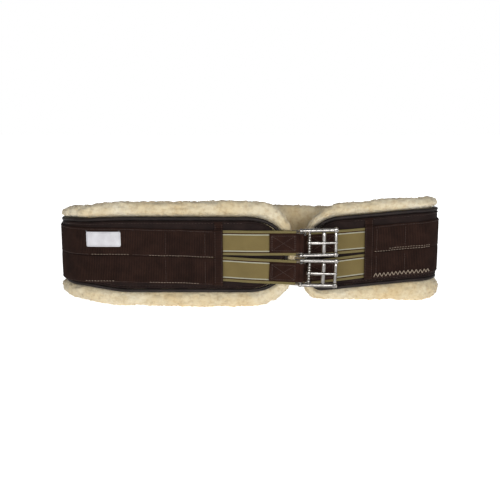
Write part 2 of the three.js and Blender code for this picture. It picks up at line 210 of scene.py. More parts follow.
def rings_object(name, rings, sv=None, closed=False, caps=True):
    """rings: (rows, cols, 3) in mm. The end rings are closed with a fan."""
    rows, cols = rings.shape[:2]
    verts = rings.reshape(-1, 3)
    faces = grid_faces(rows, cols, True, closed).tolist()
    svs = None if sv is None else sv.reshape(-1, sv.shape[-1])
    if not closed and caps:
        n = len(verts)
        verts = np.vstack([verts, rings[0].mean(0), rings[-1].mean(0)])
        if svs is not None:
            svs = np.vstack([svs, sv[0].mean(0), sv[-1].mean(0)])
        last = (rows - 1) * cols
        for i in range(cols):
            j = (i + 1) % cols
            faces.append((n, j, i))
            faces.append((n + 1, last + i, last + j))
    return new_object(name, verts, faces, True, svs)


class Shells:
    """Several closed bodies gathered into one mesh."""

    def __init__(self):
        self.v, self.f, self.n, self.sv = [], [], 0, []

    def rings(self, rings, closed=False, sv=None):
        rows, cols = rings.shape[:2]
        v = rings.reshape(-1, 3)
        f = grid_faces(rows, cols, True, closed, self.n).tolist()
        if not closed:
            m = self.n + len(v)
            v = np.vstack([v, rings[0].mean(0), rings[-1].mean(0)])
            last = self.n + (rows - 1) * cols
            for i in range(cols):
                j = (i + 1) % cols
                f.append((m, self.n + j, self.n + i))
                f.append((m + 1, last + i, last + j))
        self.v.append(v)
        self.f += f
        self.n += len(v)

    def lathe(self, profile, axis, segs=28, closed=False, matrix=None):
        """profile of (radius, along); axis 'x' or 'z'."""
        prof = np.array(profile, float)
        a = np.linspace(0, 2 * math.pi, segs, endpoint=False)
        r, h = prof[:, 0][:, None], prof[:, 1][:, None]
        c, s, hh = r * np.cos(a), r * np.sin(a), h + 0 * a
        rings = np.stack([c, s, hh], -1) if axis == "z" else np.stack([hh, c, s], -1)
        if matrix is not None:
            rings = apply(matrix, rings)
        self.rings(rings, closed)

    def tube(self, pts, radius, segs=10, up=(0, 0, 1)):
        pts = np.asarray(pts, float)
        t = np.gradient(pts, axis=0)
        t /= np.linalg.norm(t, axis=1, keepdims=True) + 1e-9
        u = np.cross(t, np.asarray(up, float))
        u /= np.linalg.norm(u, axis=1, keepdims=True) + 1e-9
        w = np.cross(t, u)
        a = np.linspace(0, 2 * math.pi, segs, endpoint=False)
        radius = np.broadcast_to(np.asarray(radius, float), (len(pts),))
        self.rings(pts[:, None] + radius[:, None, None] * (np.cos(a)[None, :, None] * u[:, None] + np.sin(a)[None, :, None] * w[:, None]))

    def object(self, name):
        return new_object(name, np.vstack(self.v), self.f)


def apply(m, p):
    m = np.array(m)
    return p @ m[:3, :3].T + m[:3, 3]


def rounded_profile(z0, z1, t0, t1, r, n_flat, n_round=4):
    """A rounded rectangle as (z, t) points."""
    pts = []
    for cz, ct, a0 in ((z1 - r, t1 - r, 0), (z0 + r, t1 - r, 90), (z0 + r, t0 + r, 180), (z1 - r, t0 + r, 270)):
        for i in range(n_round + 1):
            a = math.radians(a0 + 90 * i / n_round)
            pts.append((cz + r * math.cos(a), ct + r * math.sin(a)))
        if a0 == 0 or a0 == 180:
            nz = z0 + r if a0 == 0 else z1 - r
            for i in range(1, n_flat):
                u = i / n_flat
                pts.append((cz + (nz - cz) * u, pts[-1][1]))
    return np.array(pts)


# ---------------------------------------------------------------- materials
def nodes_for(name, color, rough, metallic=0.0):
    m = bpy.data.materials.new(name)
    m.use_nodes = True
    nt = m.node_tree
    b = nt.nodes["Principled BSDF"]
    b.inputs["Base Color"].default_value = (*color, 1)
    b.inputs["Roughness"].default_value = rough
    b.inputs["Metallic"].default_value = metallic
    return m, nt, b


def node(nt, kind, **kw):
    n = nt.nodes.new(kind)
    for k, v in kw.items():
        if k.startswith("in_"):
            n.inputs[k[3:].replace("_", " ")].default_value = v
        else:
            setattr(n, k, v)
    return n


def math_node(nt, op, a, b=None, c=None):
    n = nt.nodes.new("ShaderNodeMath")
    n.operation = op
    for i, x in enumerate((a, b, c)):
        if x is None:
            continue
        if isinstance(x, (int, float)):
            n.inputs[i].default_value = x
        else:
            nt.links.new(x, n.inputs[i])
    return n.outputs[0]


def ramp(nt, fac, stops, mode="LINEAR"):
    n = nt.nodes.new("ShaderNodeValToRGB")
    n.color_ramp.interpolation = mode
    el = n.color_ramp.elements
    while len(el) > 1:
        el.remove(el[-1])
    el[0].position, el[0].color = stops[0][0], (*stops[0][1], 1)
    for p, c in stops[1:]:
        e = el.new(p)
        e.color = (*c, 1)
    nt.links.new(fac, n.inputs[0])
    return n.outputs[0]


def noise(nt, scale, detail=3, rough=0.55, vector=None):
    n = node(nt, "ShaderNodeTexNoise")
    n.inputs["Scale"].default_value = scale
    n.inputs["Detail"].default_value = detail
    n.inputs["Roughness"].default_value = rough
    if vector is None:
        tc = node(nt, "ShaderNodeTexCoord")
        vector = tc.outputs["Object"]
    nt.links.new(vector, n.inputs["Vector"])
    return n.outputs["Fac"]


def bump(nt, height, strength, distance, bsdf, normal=None):
    n = node(nt, "ShaderNodeBump")
    n.inputs["Strength"].default_value = strength
    n.inputs["Distance"].default_value = distance
    nt.links.new(height, n.inputs["Height"])
    if normal is not None:
        nt.links.new(normal, n.inputs["Normal"])
    nt.links.new(n.outputs["Normal"], bsdf.inputs["Normal"])
    return n.outputs["Normal"]


def srgb(r, g, b):
    f = lambda c: (c / 255 / 12.92) if c / 255 <= 0.04045 else ((c / 255 + 0.055) / 1.055) ** 2.4
    return (f(r), f(g), f(b))


def sv_xyz(nt):
    a = node(nt, "ShaderNodeAttribute", attribute_name="sv")
    s = node(nt, "ShaderNodeSeparateXYZ")
    nt.links.new(a.outputs["Vector"], s.inputs[0])
    return s.outputs[0], s.outputs[1], s.outputs[2]


def fleece_material():
    m, nt, b = nodes_for("wool_fleece", srgb(222, 206, 172), 0.95)
    big = noise(nt, 26, 3)
    small = noise(nt, 190, 4, 0.65)
    tint = ramp(nt, big, [(0.30, srgb(232, 210, 166)), (0.5, srgb(238, 222, 186)), (0.72, srgb(244, 233, 206))])
    deep = ramp(nt, small, [(0.32, srgb(206, 184, 146)), (0.55, (1, 1, 1))])
    mix = node(nt, "ShaderNodeMix", data_type="RGBA", blend_type="MULTIPLY")
    mix.inputs[0].default_value = 0.45
    nt.links.new(tint, mix.inputs[6])
    nt.links.new(deep, mix.inputs[7])
    nt.links.new(mix.outputs[2], b.inputs["Base Color"])
    b.inputs["Sheen Weight"].default_value = 0.35
    b.inputs["Sheen Roughness"].default_value = 0.6
    b.inputs["Specular IOR Level"].default_value = 0.15
    bump(nt, noise(nt, 900, 4, 0.7), 0.6, 0.0006, b)
    return m


def cloth(name, dark, light, rough, weave_s, weave_v, depth, wear=0.25, spec=0.3, rib_groove_shade=0.0):
    """A woven cloth: cross threads every weave_s mm, long threads every weave_v mm."""
    m, nt, b = nodes_for(name, dark, rough)
    s, v, _ = sv_xyz(nt)
    a = math_node(nt, "SINE", math_node(nt, "MULTIPLY", s, 2 * math.pi / weave_s))
    c = math_node(nt, "SINE", math_node(nt, "MULTIPLY", v, 2 * math.pi / weave_v))
    weave = math_node(nt, "MULTIPLY", a, c)
    # Painted shade: each rib runs along v, so the painted shade in the rib grooves varies with s alone; the weave term
    # paints shade at the thread crossings, and the noise adds random tone.
    shade = math_node(nt, "ADD", math_node(nt, "ADD", math_node(nt, "MULTIPLY", weave, 0.16), math_node(nt, "MULTIPLY", a, rib_groove_shade)),
                      noise(nt, 60, 4, 0.6))
    nt.links.new(ramp(nt, shade, [(0.30, dark), (0.78, light)]), b.inputs["Base Color"])
    rv = math_node(nt, "ADD", math_node(nt, "MULTIPLY", noise(nt, 140, 3), wear), rough - wear / 2)
    nt.links.new(rv, b.inputs["Roughness"])
    b.inputs["Sheen Weight"].default_value = 0.02
    b.inputs["Specular IOR Level"].default_value = spec
    bump(nt, math_node(nt, "ADD", weave, math_node(nt, "MULTIPLY", noise(nt, 1500, 2), 0.5)), 0.55, depth, b)
    return m


def elastic_material():
    m, nt, b = nodes_for("striped_elastic", srgb(116, 103, 66), 0.8)
    s, v, _ = sv_xyz(nt)
    # Across the strap from its middle: main field, white line, brown line, olive edge.
    across = math_node(nt, "ABSOLUTE", v)
    fac = math_node(nt, "DIVIDE", across, 16.5)
    main, white, brown, olive = srgb(130, 114, 72), srgb(182, 180, 158), srgb(62, 38, 24), srgb(128, 116, 76)
    stripe = ramp(nt, fac, [(0.0, main), (0.61, white), (0.70, brown), (0.79, olive)], "CONSTANT")
    fine = math_node(nt, "SINE", math_node(nt, "MULTIPLY", v, 2 * math.pi / 0.9))
    cross = math_node(nt, "SINE", math_node(nt, "MULTIPLY", s, 2 * math.pi / 1.15))
    shade = math_node(nt, "ADD", math_node(nt, "MULTIPLY", math_node(nt, "MULTIPLY", fine, cross), 0.13),
                      math_node(nt, "ADD", math_node(nt, "MULTIPLY", noise(nt, 45, 4), 0.30), 0.80))
    mix = node(nt, "ShaderNodeMix", data_type="RGBA", blend_type="MULTIPLY")
    mix.inputs[0].default_value = 1.0
    nt.links.new(stripe, mix.inputs[6])
    grey = node(nt, "ShaderNodeCombineXYZ")
    for i in range(3):
        nt.links.new(shade, grey.inputs[i])
    nt.links.new(grey.outputs[0], mix.inputs[7])
    nt.links.new(mix.outputs[2], b.inputs["Base Color"])
    b.inputs["Sheen Weight"].default_value = 0.03
    b.inputs["Specular IOR Level"].default_value = 0.15
    bump(nt, math_node(nt, "ADD", cross, math_node(nt, "MULTIPLY", fine, 0.5)), 0.5, 0.00012, b)
    return m


def steel_material():
    m, nt, b = nodes_for("polished_steel", srgb(196, 192, 188), 0.2, 1.0)
    g = noise(nt, 90, 4)
    nt.links.new(math_node(nt, "ADD", math_node(nt, "MULTIPLY", g, 0.22), 0.09), b.inputs["Roughness"])
    nt.links.new(ramp(nt, noise(nt, 220, 3), [(0.3, srgb(156, 151, 146)), (0.7, srgb(200, 196, 192))]), b.inputs["Base Color"])
    bump(nt, noise(nt, 420, 2), 0.12, 0.0002, b)
    return m


def thread_material(name, color):
    m, nt, b = nodes_for(name, color, 0.65)
    nt.links.new(ramp(nt, noise(nt, 700, 2), [(0.3, tuple(c * 0.7 for c in color)), (0.7, tuple(min(1, c * 1.25) for c in color))]), b.inputs["Base Color"])
    b.inputs["Sheen Weight"].default_value = 0.2
    bump(nt, noise(nt, 2600, 1), 0.3, 0.0001, b)
    return m


def label_material():
    m, nt, b = nodes_for("woven_label", srgb(232, 230, 234), 0.6)
    s, v, _ = sv_xyz(nt)
    weave = math_node(nt, "MULTIPLY", math_node(nt, "SINE", math_node(nt, "MULTIPLY", s, 2 * math.pi / 0.6)),
                      math_node(nt, "SINE", math_node(nt, "MULTIPLY", v, 2 * math.pi / 0.6)))
    shade = math_node(nt, "ADD", math_node(nt, "MULTIPLY", weave, 0.15), noise(nt, 80, 3))
    nt.links.new(ramp(nt, shade, [(0.25, srgb(214, 211, 216)), (0.75, srgb(240, 239, 243))]), b.inputs["Base Color"])
    bump(nt, weave, 0.35, 0.00008, b)
    return m


MAT = {
    "fleece": fleece_material(),
    "cover": cloth("woven_cover", srgb(26, 15, 13), srgb(44, 29, 25), 0.62, 1.0, 1.0, 0.00010, 0.2, 0.14),
    "binding": cloth("binding_tape", srgb(25, 17, 15), srgb(44, 34, 31), 0.45, 0.8, 0.8, 0.00008, 0.2, 0.3),
    "webbing": cloth("ribbed_webbing", srgb(31, 18, 14), srgb(54, 35, 28), 0.78, 2.2, 1.5, 0.00016, 0.2, 0.10, 0.22),
    "chape": cloth("chape_webbing", srgb(37, 20, 15), srgb(60, 37, 28), 0.78, 1.5, 1.2, 0.00014, 0.2, 0.10),
    "elastic": elastic_material(),
    "steel": steel_material(),
    "pale": thread_material("pale_thread", srgb(178, 160, 140)),
    "brown": thread_material("brown_thread", srgb(74, 52, 44)),
    "label": label_material(),
    "label_edge": thread_material("label_border", srgb(172, 170, 178)),
}


def dress(o, mat, body, replaces=()):
    o.data.materials.clear()
    o.data.materials.append(MAT[mat])
    if replaces:
        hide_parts(*replaces)
    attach(o, body)
    return o


# ---------------------------------------------------------------- camera and studio
PHOTO_MM = 1.316
target = Vector((-1.953, Y_LEFT + SHIFT[1], 79.0)) * 0.001
elev = math.radians(10)
cam = bpy.data.objects.new("camera", bpy.data.cameras.new("camera"))
bpy.context.scene.collection.objects.link(cam)
cam.location = target + Vector((0, -math.cos(elev), math.sin(elev)))
cam.rotation_euler = (math.radians(80), 0, 0)
cam.data.sensor_width = 36
cam.data.lens = 36 / (500 * PHOTO_MM * 0.001)
cam.data.clip_start = 0.05
bpy.context.scene.camera = cam

scene = bpy.context.scene
scene.view_settings.view_transform = "Standard"
scene.view_settings.look = "None"
world = bpy.data.worlds.new("studio")
scene.world = world
world.use_nodes = True
wnt = world.node_tree
wnt.nodes["Background"].inputs[0].default_value = (0.97, 0.98, 1.0, 1)
wnt.nodes["Background"].inputs[1].default_value = 0.16
white = wnt.nodes.new("ShaderNodeBackground")
white.inputs[0].default_value = (1, 1, 1, 1)
white.inputs[1].default_value = 1.0
pick = wnt.nodes.new("ShaderNodeMixShader")
seen = wnt.nodes.new("ShaderNodeLightPath")
wnt.links.new(seen.outputs["Is Camera Ray"], pick.inputs[0])
wnt.links.new(wnt.nodes["Background"].outputs[0], pick.inputs[1])
wnt.links.new(white.outputs[0], pick.inputs[2])
wnt.links.new(pick.outputs[0], wnt.nodes["World Output"].inputs[0])


def area(name, loc, size, power, aim=(0, 0, 0.07), color=(1, 1, 1)):
    l = bpy.data.lights.new(name, "AREA")
    l.shape = "RECTANGLE"
    l.size, l.size_y = size
    l.energy = power
    l.color = color
    o = bpy.data.objects.new(name, l)
    scene.collection.objects.link(o)
    o.location = loc
    o.rotation_euler = (Vector(aim) - Vector(loc)).to_track_quat("-Z", "Y").to_euler()


area("key", (-0.5, -1.3, 1.0), (0.9, 0.5), 1.1, color=(1, 0.98, 0.95))
area("front", (0.1, -1.5, 0.13), (1.8, 0.24), 12.5)
area("fill", (0.9, -1.1, 0.8), (0.6, 0.6), 1.4)
area("top", (0.1, 0.3, 1.6), (1.4, 1.0), 0.25)
area("rear", (0.2, 1.6, 0.35), (1.6, 0.4), 7)
floor = bpy.data.meshes.new("floor")
floor.from_pydata([(-6, -6, 0), (6, -6, 0), (6, 9, 0), (-6, 9, 0)], [], [(0, 1, 2, 3)])
floor_o = bpy.data.objects.new("floor", floor)
scene.collection.objects.link(floor_o)
fm, fnt, fb = nodes_for("floor", (0.9, 0.9, 0.9), 0.9)
fb.inputs["Specular IOR Level"].default_value = 0.0
fl = fnt.nodes.new("ShaderNodeLightPath")
fnt.links.new(math_node(fnt, "MULTIPLY_ADD", fl.outputs["Is Camera Ray"], 0.85, 0.45), fb.inputs["Emission Strength"])
fb.inputs["Emission Color"].default_value = (0.82, 0.82, 0.82, 1)
floor.materials.append(fm)


# ---------------------------------------------------------------- fleece
def stations(a, b, step, fine_ends=0.0, tip_a=40, tip_b=40):
    s = list(np.arange(a, b, step)) + [b]
    if fine_ends:
        s += list(np.arange(a, a + tip_a, fine_ends)) + list(np.arange(b - tip_b, b, fine_ends))
    s = sorted(set(round(x, 3) for x in s))
    out = [s[0]]
    for x in s[1:]:
        if x - out[-1] > 0.35 * (fine_ends or step):
            out.append(x)
    return np.array(out)


def grid_normals(p, closed_cols=True):
    du = np.gradient(p, axis=0)
    dv = np.roll(p, -1, 1) - np.roll(p, 1, 1)
    n = np.cross(du, dv)
    return n / (np.linalg.norm(n, axis=-1, keepdims=True) + 1e-9)


def make_fleece():
    s = stations(-TIP_OUT_L + 0.5, S_END + TIP_OUT_R - 0.5, 1.9, 0.8, 26, 26)
    ft, fb = fleece_edges(s)
    pt, pb = panel_edges(s)
    d = np.minimum(s, S_END - s)
    df = np.where(s < S_END / 2, s + TIP_OUT_L, S_END + TIP_OUT_R - s)
    k = nose(df, 12, 2.2)
    past = smooth(1.5, -3.0, d)
    valley = -8.2 + 7.4 * past
    rows = []
    kind = []

    bend = np.maximum(smooth(S1 - 25, S1 + 20, s) * (1 - smooth(S2 - 40, S2 + 10, s)),
                      smooth(S3 - 10, S3 + 40, s) * (1 - smooth(S4 - 20, S4 + 25, s)))

    def half(pe, fe, sign):
        w = np.abs(fe - pe)
        hid = np.minimum(4.0, (pt - pb) * 0.25)
        cols = [(-hid, valley - 0.7), (-hid * 0.4, valley - 0.4)]
        kinds = [0, 0]
        for psi in np.linspace(90, 0, 11)[:-1]:
            c, q = math.cos(math.radians(psi)), math.sin(math.radians(psi))
            cols.append((0.42 * w - (0.42 * w - 0.4) * q, valley + (-0.6 - valley) * c))
            kinds.append(0.15 if psi > 80 else 0.5 if psi > 60 else 1)
        for phi in np.linspace(0, 90, 15):
            c, q = math.cos(math.radians(phi)), math.sin(math.radians(phi))
            cols.append((0.42 * w + 0.58 * w * q, -11.8 + 11.2 * c))
            kinds.append(1)
        back = np.minimum(13.0, np.abs(fe - split(s)) * 0.6)
        for chi in np.linspace(0, 90, 9)[1:]:
            c, q = math.cos(math.radians(chi)), math.sin(math.radians(chi))
            cols.append((w - back * (1 - c), -11.8 - 12.2 * q))
            kinds.append(1)
        bulge = 4.6 * bend if sign < 0 else 1.5 * bend
        cols = [(dz, t + bulge * np.clip((np.asarray(t) + 11.8) / 11.2, 0, 1) * (kd > 0.4)) for (dz, t), kd in zip(cols, kinds)]
        out = [(pe + sign * dz, -12.5 + (np.asarray(t) + 12.5 + 0 * pe) * k) for dz, t in cols]
        return out, kinds

    top, kt = half(pt, ft, 1)
    bottom, kb = half(pb, fb, -1)
    zt, zb = top[-1][0], bottom[-1][0]
    n_back = 46
    mid = [(zt + (zb - zt) * u, top[-1][1]) for u in np.linspace(0, 1, n_back + 1)[1:-1]]
    n_front = 6
    z0, z1 = bottom[0][0], top[0][0]
    front = [(z0 + (z1 - z0) * u, top[0][1]) for u in np.linspace(0, 1, n_front + 1)[1:-1]]
    prof = top + mid + bottom[::-1] + front
    weight = np.array(kt + [1] * len(mid) + kb[::-1] + [0] * len(front), float)
    p = np.stack([at(s, z, t) for z, t in prof], 1)
    weight = np.tile(weight, (len(s), 1))
    front_cols = np.zeros(len(prof), bool)
    front_cols[-len(front):] = True
    front_cols[:2] = True
    front_cols[len(top) + len(mid) + len(bottom) - 2:len(top) + len(mid) + len(bottom)] = True
    weight[:, front_cols] = np.maximum(weight[:, front_cols], past[:, None] * 0.8)
    n = grid_normals(p)
    centre = p.mean(1, keepdims=True)
    if (n * (p - centre)).sum(-1).mean() < 0:
        n = -n
    bumpy = (clumps(p, 9.0) - 0.6) * 2.6 + (clumps(p, 4.2, 77) - 0.5) * 1.1 + value_noise(p, 38, 5) * 1.5 + value_noise(p, 1.6, 9) * 0.28 - 1.3
    # The wool lies flatter at the right tip, where the buckles press on it.
    z = p[..., 2]
    flat = smooth(S_END - 14, S_END - 5, s)[:, None] * smooth(12, 20, z) * (1 - smooth(102, 110, z))
    bumpy = bumpy * (1 - flat) + np.minimum(bumpy, -0.5) * flat
    q = p + n * (bumpy * weight * k[:, None] ** 0.5)[..., None]
    q[..., 2] = np.where(q[..., 2] < 0.05, 0.05 + 0 * q[..., 2], q[..., 2])
    o = rings_object("fleece_lining", q)
    return o, q, n, weight * k[:, None] * (flat < 0.5)


fleece_o, FP, FN, FW = make_fleece()
dress(fleece_o, "fleece", "root", ["fleece"])


def make_tufts(count):
    rows, cols = FP.shape[:2]
    a = np.linalg.norm(np.roll(FP, -1, 1) - FP, axis=-1)
    b = np.zeros_like(a)
    b[:-1] = np.linalg.norm(FP[1:] - FP[:-1], axis=-1)
    w = (a * b * (FW > 0.45)).ravel()
    # Thicker where it shows from outside than on the inner face.
    pick = rng.choice(rows * cols, size=count, p=w / w.sum())
    i, j = pick // cols, pick % cols
    i2, j2 = np.minimum(i + 1, rows - 1), (j + 1) % cols
    u, v = rng.random((2, count, 1))
    base = FP[i, j] * (1 - u) * (1 - v) + FP[i2, j] * u * (1 - v) + FP[i, j2] * (1 - u) * v + FP[i2, j2] * u * v
    nor = FN[i, j]
    t1 = np.cross(nor, rng.normal(size=(count, 3)))
    t1 /= np.linalg.norm(t1, axis=1, keepdims=True) + 1e-9
    t2 = np.cross(nor, t1)
    length = rng.uniform(1.6, 3.1, (count, 1))
    r = rng.uniform(0.38, 0.75, (count, 1))
    base = base - nor * 0.5
    tip_dir = nor * 0.62 + t1 * rng.uniform(0.3, 0.95, (count, 1))
    mid = base + nor * length * 0.5 + t1 * length * 0.12
    tip = base + tip_dir * length + t2 * rng.uniform(-0.5, 0.5, (count, 1))
    ring = []
    for c, rr in ((base, r), (mid, r * 0.8)):
        for a0 in (0, 2.094, 4.189):
            ring.append(c + rr * (math.cos(a0) * t1 + math.sin(a0) * t2))
    verts = np.stack(ring + [tip], 1)
    verts[..., 2] = np.maximum(verts[..., 2], 0.05)
    base_i = np.arange(count)[:, None] * 7
    faces = []
    quads = np.concatenate([base_i + np.array([m]) for m in ([0, 1, 4, 3], [1, 2, 5, 4], [2, 0, 3, 5])])
    tris = np.concatenate([base_i + np.array([m]) for m in ([0, 2, 1], [3, 4, 6], [4, 5, 6], [5, 3, 6])])
    return new_object("fleece_tufts", verts.reshape(-1, 3), quads.tolist() + tris.tolist())


tufts = make_tufts(15000)
dress(tufts, "fleece", "root")


# ---------------------------------------------------------------- panel and its binding
def make_panel():
    w = 5.1
    s = stations(5.6, S_END - 5.6, 2.6, 1.2, 30, 30)
    d = np.minimum(s, S_END - s) - w
    a, b = edges(PANEL_H, s, d, NOSE_PANEL, w)
    a, b = a - w, b + w
    mid = (a + b) / 2
    halfh = np.maximum((a - b) / 2, 0.5)
    k = np.minimum(1, halfh / 12)
    room = np.minimum(a - (split(s) + 35.6), (split(s) - 35.6) - b)
    ridge = 0.25 + 0.45 * smooth(1.0, 4.0, room)
    offs = [(0.0, -1.6, 0), (0.15, -0.7, 0), (0.6, -0.1, .5), (1.2, 0.0, .9), (1.8, 0.0, 1), (2.4, 0.0, .8), (2.9, -0.15, .2),
            (3.3, -0.45, 0), (3.8, -0.2, 0), (4.8, -0.02, 0)]
    cols = [(mid + halfh - o * k, t + ridge * rr) for o, t, rr in offs]
    za, zb = cols[-1][0], mid - halfh + 4.8 * k
    for u in np.linspace(0, 1, 26)[1:-1]:
        cols.append((za + (zb - za) * u, 0 * s))
    cols += [(mid - halfh + o * k, t + ridge * rr) for o, t, rr in offs[::-1]]
    cols += [(mid - halfh, -4.5 + 0 * s), (mid - halfh + 0.6 * k, -7.5 + 0 * s), (mid - halfh + 2 * k, -7.9 + 0 * s),
             (mid, -7.9 + 0 * s), (mid + halfh - 2 * k, -7.9 + 0 * s), (mid + halfh - 0.6 * k, -7.5 + 0 * s), (mid + halfh, -4.5 + 0 * s)]
    p = np.stack([at(s, z, t + 0 * s) for z, t in cols], 1)
    x, y, nx, ny = path(s)
    out = np.stack([nx, ny, 0 * nx], -1)[:, None]
    m = np.zeros(len(cols))
    m[8:len(offs) + 24 + 2] = 1
    p = p + out * (value_noise(p, 13, 31) * 0.16 * m - 0.1 * m)[..., None]
    sv = np.stack([np.tile(s[:, None], (1, len(cols))), np.stack([z for z, _ in cols], 1)], -1)
    return rings_object("padded_cover", p, sv)


panel_o = make_panel()
dress(panel_o, "cover", "root", ["padded_panel"])


def binding_path():
    s = stations(0.25, S_END - 0.25, 2.2, 0.6, 22, 22)
    pt, pb = panel_edges(s)
    top = np.stack([s, pt, np.ones_like(s)], -1)
    bottom = np.stack([s, pb, np.zeros_like(s)], -1)[::-1]
    return np.vstack([top, bottom])


def make_binding():
    line = binding_path()
    s = line[:, 0]
    room_top = (panel_edges(s)[0] - 5.2) - (split(s) + 35.6)
    room_low = (split(s) - 35.6) - (panel_edges(s)[1] + 5.2)
    room = np.where(line[:, 2] > 0.5, room_top, room_low)
    t_c = -2.9 + 1.2 * smooth(-0.5, 1.5, room)
    near = np.minimum(s, S_END - s)
    t_c = np.where(near < 30, np.maximum(t_c, -2.1), t_c)
    t_c = np.where(near < 18, -2.2, t_c)
    p = at(s, line[:, 1], t_c)
    along = np.roll(p, -1, 0) - np.roll(p, 1, 0)
    along /= np.linalg.norm(along, axis=1, keepdims=True)
    x, y, nx, ny = path(s)
    out = np.stack([nx, ny, 0 * nx], -1)
    side = np.cross(along, out)
    side /= np.linalg.norm(side, axis=1, keepdims=True)
    flip = np.where(line[:, 2] > 0.5, -1, 1)
    side *= np.where(side[:, 2] * flip < 0, -1, 1)[:, None]
    centre = p + side * 2.45
    a = np.linspace(0, 2 * math.pi, 16, endpoint=False)
    arc = np.concatenate([[0], np.cumsum(np.linalg.norm(np.diff(p, axis=0), axis=1))])
    r = 2.5 + 0.10 * value_noise(np.stack([arc, 0 * arc, 0 * arc], -1), 9, 3)
    w = np.cross(along, side)
    rings = centre[:, None] + r[:, None, None] * (np.cos(a)[None, :, None] * out[:, None] + np.sin(a)[None, :, None] * side[:, None])
    sv = np.stack([np.tile(arc[:, None], (1, 16)), np.tile(2.5 * a[None], (len(arc), 1))], -1)
    return rings_object("rolled_binding", rings, sv, closed=True, caps=False)


binding_o = make_binding()
dress(binding_o, "binding", "root", ["edge_binding"])


# ---------------------------------------------------------------- webbing, hems, label
def make_webbing(name, z0, z1):
    step = 0.475
    s = np.arange(MOUTH_SL + 0.8, MOUTH_SR - 0.8, step)
    prof = rounded_profile(z0, z1, FIT, FIT + WEB_T - 0.15, 0.7, 8, 2)
    base = split(s)
    u = lift(s)
    rib = 0.5 + 0.5 * np.sin(2 * math.pi * s / 2.2)
    cols = []
    for z, t in prof:
        edge = float(smooth(0.2, 1.8, min(z - z0, z1 - z)))
        front = 1.0 if t > FIT + WEB_T / 2 else 0.0
        wob = 0.28 * value_noise(np.stack([s, 0 * s + z0, 0 * s], -1), 22, 40)
        cols.append((base + z + wob, t + u + front * edge * rib * 0.42 + front * 0.12 * value_noise(np.stack([s, 0 * s + z, 0 * s], -1), 17, 4)))
    p = np.stack([at(s, z, t) for z, t in cols], 1)
    sv = np.stack([np.tile(s[:, None], (1, len(prof))), np.tile(prof[None, :, 0], (len(s), 1))], -1)
    return rings_object(name, p, sv)


dress(make_webbing("webbing_band_upper", 0.15, 0.15 + WEB_W), "webbing", "root", ["webbing_upper"])
dress(make_webbing("webbing_band_lower", -0.15 - WEB_W, -0.15), "webbing", "root", ["webbing_lower"])
T_WEB = FIT + WEB_T


def make_hem(name, a, b, node):
    """A folded strip across both bands; its ends come down to the cover."""
    z = np.arange(-38.2, 47.05, 0.6)
    over = np.minimum(smooth(-38.2, -35.0, z), smooth(40.5, 35.0, z))
    t_base = 0.35 + (2.1 + T_WEB + 0.1 - 0.35) * over
    prof = []
    r, th = 0.6, 1.35
    for cs, ct, a0 in ((b - r, th - r, 0), (a + r, th - r, 90), (a + r, r, 180), (b - r, r, 270)):
        for i in range(4):
            ang = math.radians(a0 + 30 * i)
            prof.append((cs + r * math.cos(ang), ct + r * math.sin(ang)))
        if a0 == 0:
            for q in np.linspace(0, 1, 9)[1:-1]:
                ss = (b - r) + (a + r - (b - r)) * q
                prof.append((ss, th + 0.28 * math.sin(math.pi * min(q * 2, 2 - q * 2)) - 0.30 * math.exp(-((q - 0.5) / 0.09) ** 2)))
    rows = []
    for zi, tb in zip(z, t_base):
        rib = 0.10 * math.sin(2 * math.pi * zi / 1.9)
        rows.append([at(np.array(ss), np.array(split(np.array(ss)) + zi), np.array(tb + tt + (rib if tt > th * 0.7 else 0))) for ss, tt in prof])
    p = np.array(rows)
    sv = np.stack([np.tile(z[:, None], (1, len(prof))), np.tile(np.array([q[0] for q in prof])[None], (len(z), 1))], -1)
    return dress(rings_object(name, p, sv), "webbing", "root", [node])


make_hem("hem_left", MOUTH_SL, MOUTH_SL + HEM, "pocket_hem_left")
make_hem("hem_right", MOUTH_SR - HEM, MOUTH_SR, "pocket_hem_right")


def make_label():
    s = np.linspace(219.5, S1 + 12, 60)
    rows, svs = [], []
    for si in s:
        e = min(si - s[0], s[-1] - si)
        corner = 1.8 * (1 - math.sqrt(max(0, 1 - max(0, 1 - e / 1.8) ** 2)))
        z0, z1 = 11.8 + corner, 31.6 - corner
        puff = 0.35 * math.sin(math.pi * (si - s[0]) / (s[-1] - s[0]))
        prof = rounded_profile(z0, z1, T_WEB + 0.3, T_WEB + 0.9, 0.28, 14, 2)
        row = []
        for z, t in prof:
            wave = 0.22 * math.sin(0.24 * si + 0.3 * z) * min(1, e / 5)
            row.append(at(np.array(si), np.array(split(np.array(si)) + z), np.array(t + puff * math.sin(math.pi * (z - 11.8) / 19.8) + wave * 0.5)))
        rows.append(row)
        svs.append([(si, z) for z, t in prof])
    return rings_object("blank_label", np.array(rows), np.array(svs))


dress(make_label(), "label", "root", ["label"])


# ---------------------------------------------------------------- stitches
def stitch_points(points, outs, shells, radius, gap=0.25, matrix=None):
    """One raised thread stitch between each pair of neighbouring points."""
    pts = np.asarray(points, float)
    outs = np.asarray(outs, float)
    for i in range(len(pts) - 1):
        a, b, n = pts[i], pts[i + 1], outs[i]
        a2, b2 = a + (b - a) * gap / 2, b - (b - a) * gap / 2
        q = [a2 - n * 0.25, a2 + (b2 - a2) * 0.2 + n * radius * 0.7, a2 + (b2 - a2) * 0.8 + n * radius * 0.7, b2 - n * 0.25]
        q = np.array(q)
        if matrix is not None:
            q = apply(matrix, q)
            up = np.array(matrix.to_3x3() @ Vector(n))
        else:
            up = n
        shells.tube(q, [radius * 0.6, radius, radius, radius * 0.6], 6, up=up)


